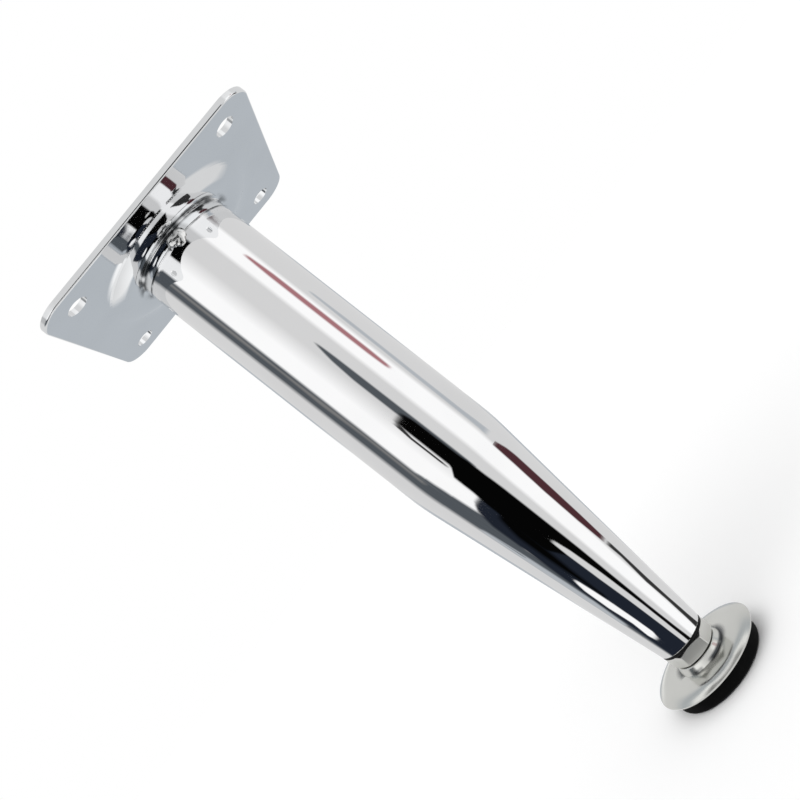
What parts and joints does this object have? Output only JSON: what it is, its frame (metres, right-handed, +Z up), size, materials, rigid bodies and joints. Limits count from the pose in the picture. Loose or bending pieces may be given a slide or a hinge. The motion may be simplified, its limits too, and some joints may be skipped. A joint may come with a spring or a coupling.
{
  "type": "height adjustable furniture leg",
  "caption": "Chromed tapered furniture leg with a screw-on mounting plate at the top and a screw-in levelling glide with a rubber pad at the foot.",
  "frame": {"origin": "centre of the underside of the rubber pad, on the axis of the tube, with the foot fully screwed in", "axes": "+Z up along the tube from the pad to the mounting plate, X and Y along the sides of the square plate; the side of the plate that is near in the picture faces -Y"},
  "size_m": [0.08, 0.08, 0.2],
  "materials": {
    "plate_chrome": "bright chrome plate on pressed steel sheet",
    "tube_chrome": "mirror chrome plate on drawn steel tube",
    "weld_metal": "lumpy weld beads, chrome plated over",
    "black_plastic": "black moulded nylon",
    "bush_steel": "turned steel, zinc plated",
    "screw_nickel": "nickel plated turned and rolled steel",
    "disc_nickel": "satin nickel plate on pressed steel",
    "pad_rubber": "matt black moulded rubber"
  },
  "bodies": {
    "leg": {"mounting_plate": "plate_chrome", "leg_tube": "tube_chrome", "tack_welds": "weld_metal", "end_plug": "black_plastic", "thread_bush": "bush_steel"},
    "glide": {"glide_disc": "disc_nickel", "glide_pad": "pad_rubber"},
    "screw": {"adjuster_screw": "screw_nickel"}
  },
  "joints": [
    {"name": "height_slide", "type": "slide", "parent": "leg", "child": "glide", "axis": [0, 0, -1], "range_m": [0, 0.015]},
    {"name": "screw_turn", "type": "hinge", "parent": "glide", "child": "screw", "pos_m": [0, 0, 0.0114], "axis": [0, 0, -1], "range_deg": [0, 4321]}
  ],
  "couplings": [
    {"joint": "screw_turn", "follows": "height_slide", "rad_per_m": 5026.5}
  ]
}
